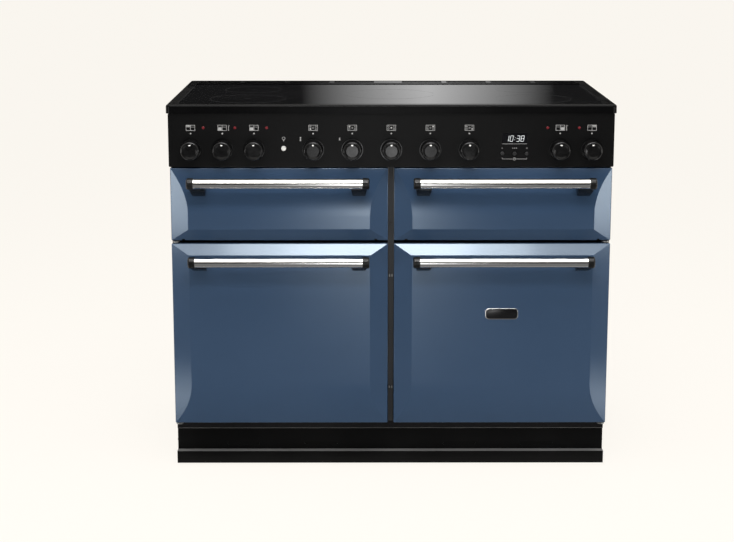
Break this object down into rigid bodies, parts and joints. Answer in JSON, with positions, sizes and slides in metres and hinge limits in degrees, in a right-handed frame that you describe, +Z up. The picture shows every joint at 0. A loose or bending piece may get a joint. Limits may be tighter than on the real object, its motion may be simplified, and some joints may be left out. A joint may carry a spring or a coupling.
{
  "type": "induction range cooker",
  "caption": "Free-standing range cooker with a black induction glass hob, a row of control knobs, drop-down upper doors and side-hinged oven doors in slate blue enamel",
  "frame": {"origin": "middle of the overall box, on the floor", "axes": "+X to the right seen from the front, +Y to the rear, +Z up"},
  "size_m": [1.1, 0.6692, 0.922],
  "materials": {
    "door_enamel": "gloss vitreous enamel, slate blue",
    "black_paint": "satin black paint",
    "black_enamel": "black enamel",
    "fascia_black": "satin black",
    "rim_black": "satin black",
    "panel_black": "satin black",
    "strip_grey": "dark grey",
    "hob_glass": "polished black ceramic glass",
    "clock_glass": "black display window",
    "stainless": "fine brushed",
    "handle_black": "gloss black",
    "knob_black": "gloss black",
    "button_dark": "dark grey",
    "button_pale": "pale grey",
    "neon_red": "clear red",
    "liner_enamel": "dark grey speckled enamel",
    "chrome_wire": "bright plated wire",
    "galvanised": "galvanised sheet",
    "zinc_steel": "zinc plated",
    "element_steel": "dull sheathed rod",
    "seal_rubber": "matt",
    "black_plastic": "moulded",
    "roller_nylon": "moulded nylon",
    "coil_copper": "copper winding on a carrier"
  },
  "bodies": {
    "chassis": {"base_frame": "galvanised", "levelling_feet": "zinc_steel", "side_panels": "black_paint", "rear_panel": "galvanised", "front_frame": "black_enamel", "door_seals": "seal_rubber", "hinge_fittings": "zinc_steel", "centre_strip": "strip_grey", "lower_oven_liners": "liner_enamel", "upper_oven_liners": "liner_enamel", "oven_shelves": "chrome_wire", "grill_pan": "liner_enamel", "oven_elements": "element_steel", "fan_baffles": "liner_enamel", "fan_motors": "galvanised", "control_panel": "fascia_black", "control_switches": "black_plastic", "neon_lenses": "neon_red", "clock_module": "clock_glass", "hob_rim": "rim_black", "hob_glass": "hob_glass", "rear_vent": "rim_black", "hob_tray": "galvanised", "induction_units": "coil_copper", "lower_front_panel": "panel_black", "plinth": "panel_black"},
    "grill_door": {"grill_door_outer_panel": "door_enamel", "grill_door_inner_panel": "liner_enamel", "grill_door_handle_bar": "stainless", "grill_door_handle_ends": "handle_black"},
    "slow_oven_door": {"slow_oven_door_outer_panel": "door_enamel", "slow_oven_door_inner_panel": "liner_enamel", "slow_oven_door_handle_bar": "stainless", "slow_oven_door_handle_ends": "handle_black"},
    "left_oven_door": {"left_oven_door_outer_panel": "door_enamel", "left_oven_door_inner_panel": "liner_enamel", "left_oven_door_handle_bar": "stainless", "left_oven_door_handle_ends": "handle_black"},
    "right_oven_door": {"right_oven_door_outer_panel": "door_enamel", "right_oven_door_inner_panel": "liner_enamel", "right_oven_door_handle_bar": "stainless", "right_oven_door_handle_ends": "handle_black"},
    "grill_knob_body": {"grill_knob": "knob_black"},
    "left_oven_heat_knob_body": {"left_oven_heat_knob": "knob_black"},
    "left_oven_function_knob_body": {"left_oven_function_knob": "knob_black"},
    "left_front_zone_knob_body": {"left_front_zone_knob": "knob_black"},
    "left_rear_zone_knob_body": {"left_rear_zone_knob": "knob_black"},
    "centre_zone_knob_body": {"centre_zone_knob": "knob_black"},
    "right_rear_zone_knob_body": {"right_rear_zone_knob": "knob_black"},
    "right_front_zone_knob_body": {"right_front_zone_knob": "knob_black"},
    "right_oven_heat_knob_body": {"right_oven_heat_knob": "knob_black"},
    "slow_oven_knob_body": {"slow_oven_knob": "knob_black"},
    "clock_minus_button_body": {"clock_minus_button": "button_dark"},
    "clock_set_button_body": {"clock_set_button": "button_dark"},
    "clock_plus_button_body": {"clock_plus_button": "button_dark"},
    "oven_light_button_body": {"oven_light_button": "button_pale"},
    "left_oven_fan_body": {"left_oven_fan": "galvanised"},
    "right_oven_fan_body": {"right_oven_fan": "galvanised"},
    "left_rear_roller_body": {"left_rear_roller": "roller_nylon"},
    "right_rear_roller_body": {"right_rear_roller": "roller_nylon"}
  },
  "joints": [
    {"name": "grill_door_drop", "type": "hinge", "parent": "chassis", "child": "grill_door", "pos_m": [-0.27525, -0.25538, 0.599], "axis": [1, 0, 0], "range_deg": [0, 90]},
    {"name": "slow_oven_door_drop", "type": "hinge", "parent": "chassis", "child": "slow_oven_door", "pos_m": [0.27525, -0.25538, 0.599], "axis": [1, 0, 0], "range_deg": [0, 90]},
    {"name": "left_oven_door_swing", "type": "hinge", "parent": "chassis", "child": "left_oven_door", "pos_m": [-0.533, -0.24938, 0.346], "axis": [0, 0, -1], "range_deg": [0, 110]},
    {"name": "right_oven_door_swing", "type": "hinge", "parent": "chassis", "child": "right_oven_door", "pos_m": [0.533, -0.24938, 0.346], "axis": [0, 0, 1], "range_deg": [0, 110]},
    {"name": "grill_knob_turn", "type": "hinge", "parent": "chassis", "child": "grill_knob_body", "pos_m": [-0.49, -0.26438, 0.812], "axis": [0, 1, 0], "range_deg": [0, 270]},
    {"name": "left_oven_heat_knob_turn", "type": "hinge", "parent": "chassis", "child": "left_oven_heat_knob_body", "pos_m": [-0.41261, -0.26438, 0.812], "axis": [0, 1, 0], "range_deg": [0, 270]},
    {"name": "left_oven_function_knob_turn", "type": "hinge", "parent": "chassis", "child": "left_oven_function_knob_body", "pos_m": [-0.33522, -0.26438, 0.812], "axis": [0, 1, 0], "continuous": true},
    {"name": "left_front_zone_knob_turn", "type": "hinge", "parent": "chassis", "child": "left_front_zone_knob_body", "pos_m": [-0.19075, -0.26438, 0.812], "axis": [0, 1, 0], "range_deg": [0, 270]},
    {"name": "left_rear_zone_knob_turn", "type": "hinge", "parent": "chassis", "child": "left_rear_zone_knob_body", "pos_m": [-0.09538, -0.26438, 0.812], "axis": [0, 1, 0], "range_deg": [0, 270]},
    {"name": "centre_zone_knob_turn", "type": "hinge", "parent": "chassis", "child": "centre_zone_knob_body", "pos_m": [0, -0.26438, 0.812], "axis": [0, 1, 0], "range_deg": [0, 270]},
    {"name": "right_rear_zone_knob_turn", "type": "hinge", "parent": "chassis", "child": "right_rear_zone_knob_body", "pos_m": [0.09538, -0.26438, 0.812], "axis": [0, 1, 0], "range_deg": [0, 270]},
    {"name": "right_front_zone_knob_turn", "type": "hinge", "parent": "chassis", "child": "right_front_zone_knob_body", "pos_m": [0.19075, -0.26438, 0.812], "axis": [0, 1, 0], "range_deg": [0, 270]},
    {"name": "right_oven_heat_knob_turn", "type": "hinge", "parent": "chassis", "child": "right_oven_heat_knob_body", "pos_m": [0.41261, -0.26438, 0.812], "axis": [0, 1, 0], "range_deg": [0, 270]},
    {"name": "slow_oven_knob_turn", "type": "hinge", "parent": "chassis", "child": "slow_oven_knob_body", "pos_m": [0.49, -0.26438, 0.812], "axis": [0, 1, 0], "range_deg": [0, 270]},
    {"name": "clock_minus_button_press", "type": "slide", "parent": "chassis", "child": "clock_minus_button_body", "axis": [0, 1, 0], "range_m": [0, 0.002], "stiffness_N_per_m": 400},
    {"name": "clock_set_button_press", "type": "slide", "parent": "chassis", "child": "clock_set_button_body", "axis": [0, 1, 0], "range_m": [0, 0.002], "stiffness_N_per_m": 400},
    {"name": "clock_plus_button_press", "type": "slide", "parent": "chassis", "child": "clock_plus_button_body", "axis": [0, 1, 0], "range_m": [0, 0.002], "stiffness_N_per_m": 400},
    {"name": "oven_light_button_press", "type": "slide", "parent": "chassis", "child": "oven_light_button_body", "axis": [0, 1, 0], "range_m": [0, 0.002], "stiffness_N_per_m": 400},
    {"name": "left_oven_fan_spin", "type": "hinge", "parent": "chassis", "child": "left_oven_fan_body", "pos_m": [-0.27525, 0.19312, 0.3455], "axis": [0, 1, 0], "continuous": true},
    {"name": "right_oven_fan_spin", "type": "hinge", "parent": "chassis", "child": "right_oven_fan_body", "pos_m": [0.27525, 0.19312, 0.3455], "axis": [0, 1, 0], "continuous": true},
    {"name": "left_rear_roller_roll", "type": "hinge", "parent": "chassis", "child": "left_rear_roller_body", "pos_m": [-0.472, 0.27463, 0.018], "axis": [1, 0, 0], "continuous": true},
    {"name": "right_rear_roller_roll", "type": "hinge", "parent": "chassis", "child": "right_rear_roller_body", "pos_m": [0.472, 0.27463, 0.018], "axis": [1, 0, 0], "continuous": true}
  ]
}
